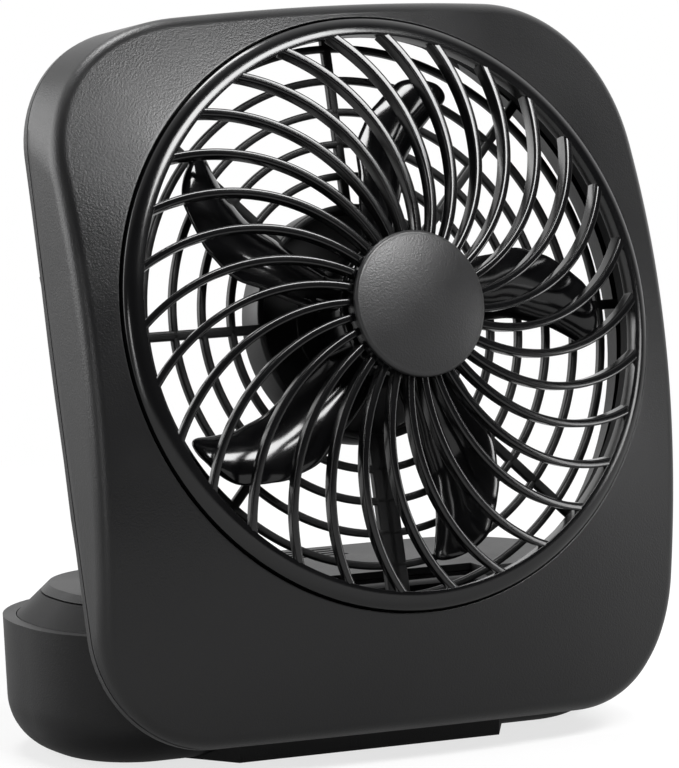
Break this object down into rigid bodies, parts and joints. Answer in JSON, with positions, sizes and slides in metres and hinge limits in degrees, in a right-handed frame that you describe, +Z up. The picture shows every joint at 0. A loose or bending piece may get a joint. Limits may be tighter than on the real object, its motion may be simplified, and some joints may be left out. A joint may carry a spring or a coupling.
{
  "type": "desk fan",
  "caption": "Square pillow-shaped desk fan head with a domed swirl grille, hinged on a low rounded battery base with a sliding lid, a slide switch and a charging port.",
  "frame": {"origin": "middle of the base's flat underside, on the surface it stands on", "axes": "+Z up, the fan blows towards -Y, +X is the viewer's right when facing the grille"},
  "size_m": [0.1502, 0.09, 0.1678],
  "materials": {
    "shell_plastic": "fine-textured moulding",
    "grille_plastic": "satin moulding",
    "rotor_plastic": "polished moulding",
    "guard_plastic": "plain moulding",
    "motor_steel": "zinc plated",
    "ferrite": "ground ceramic magnet",
    "bronze": "sintered bush",
    "copper_winding": "enamelled wire on a laminated core",
    "screw_steel": "black zinc",
    "cell_can": "printed sleeve on a steel can",
    "contact_nickel": "nickel plated strip",
    "board_laminate": "solder-masked laminate",
    "port_steel": "tinned shell",
    "switch_plastic": "plain moulding"
  },
  "bodies": {
    "base": {"base_tray": "shell_plastic", "base_top_cover": "shell_plastic", "battery_cell_left": "cell_can", "battery_cell_right": "cell_can", "contact_leaf_left": "contact_nickel", "contact_leaf_right": "contact_nickel", "hinge_pins": "motor_steel", "base_screws": "screw_steel", "circuit_board": "board_laminate", "charge_port": "port_steel", "switch_body": "switch_plastic"},
    "head": {"front_shell": "shell_plastic", "rear_shell": "shell_plastic", "shell_screws": "screw_steel", "front_grille": "grille_plastic", "centre_cap": "grille_plastic", "rear_guard": "guard_plastic", "motor_can": "motor_steel", "motor_end_cap": "guard_plastic", "motor_bushes": "bronze", "motor_magnets": "ferrite"},
    "rotor": {"fan_rotor": "rotor_plastic", "motor_shaft": "motor_steel", "motor_armature": "copper_winding"},
    "switch_knob": {"switch_knob": "switch_plastic"},
    "battery_lid": {"battery_lid": "shell_plastic"}
  },
  "joints": [
    {"name": "head_tilt", "type": "hinge", "parent": "base", "child": "head", "pos_m": [0, -0.0226, 0.03], "axis": [-1, 0, 0], "range_deg": [-11.4, 74.6]},
    {"name": "rotor_spin", "type": "hinge", "parent": "head", "child": "rotor", "pos_m": [0, -0.03801, 0.10021], "axis": [0, -0.9641, 0.2656], "continuous": true},
    {"name": "switch_slide", "type": "slide", "parent": "base", "child": "switch_knob", "axis": [1, 0, 0], "range_m": [-0.004, 0.004]},
    {"name": "battery_lid_slide", "type": "slide", "parent": "base", "child": "battery_lid", "axis": [0, 1, 0], "range_m": [0, 0.0055]}
  ]
}
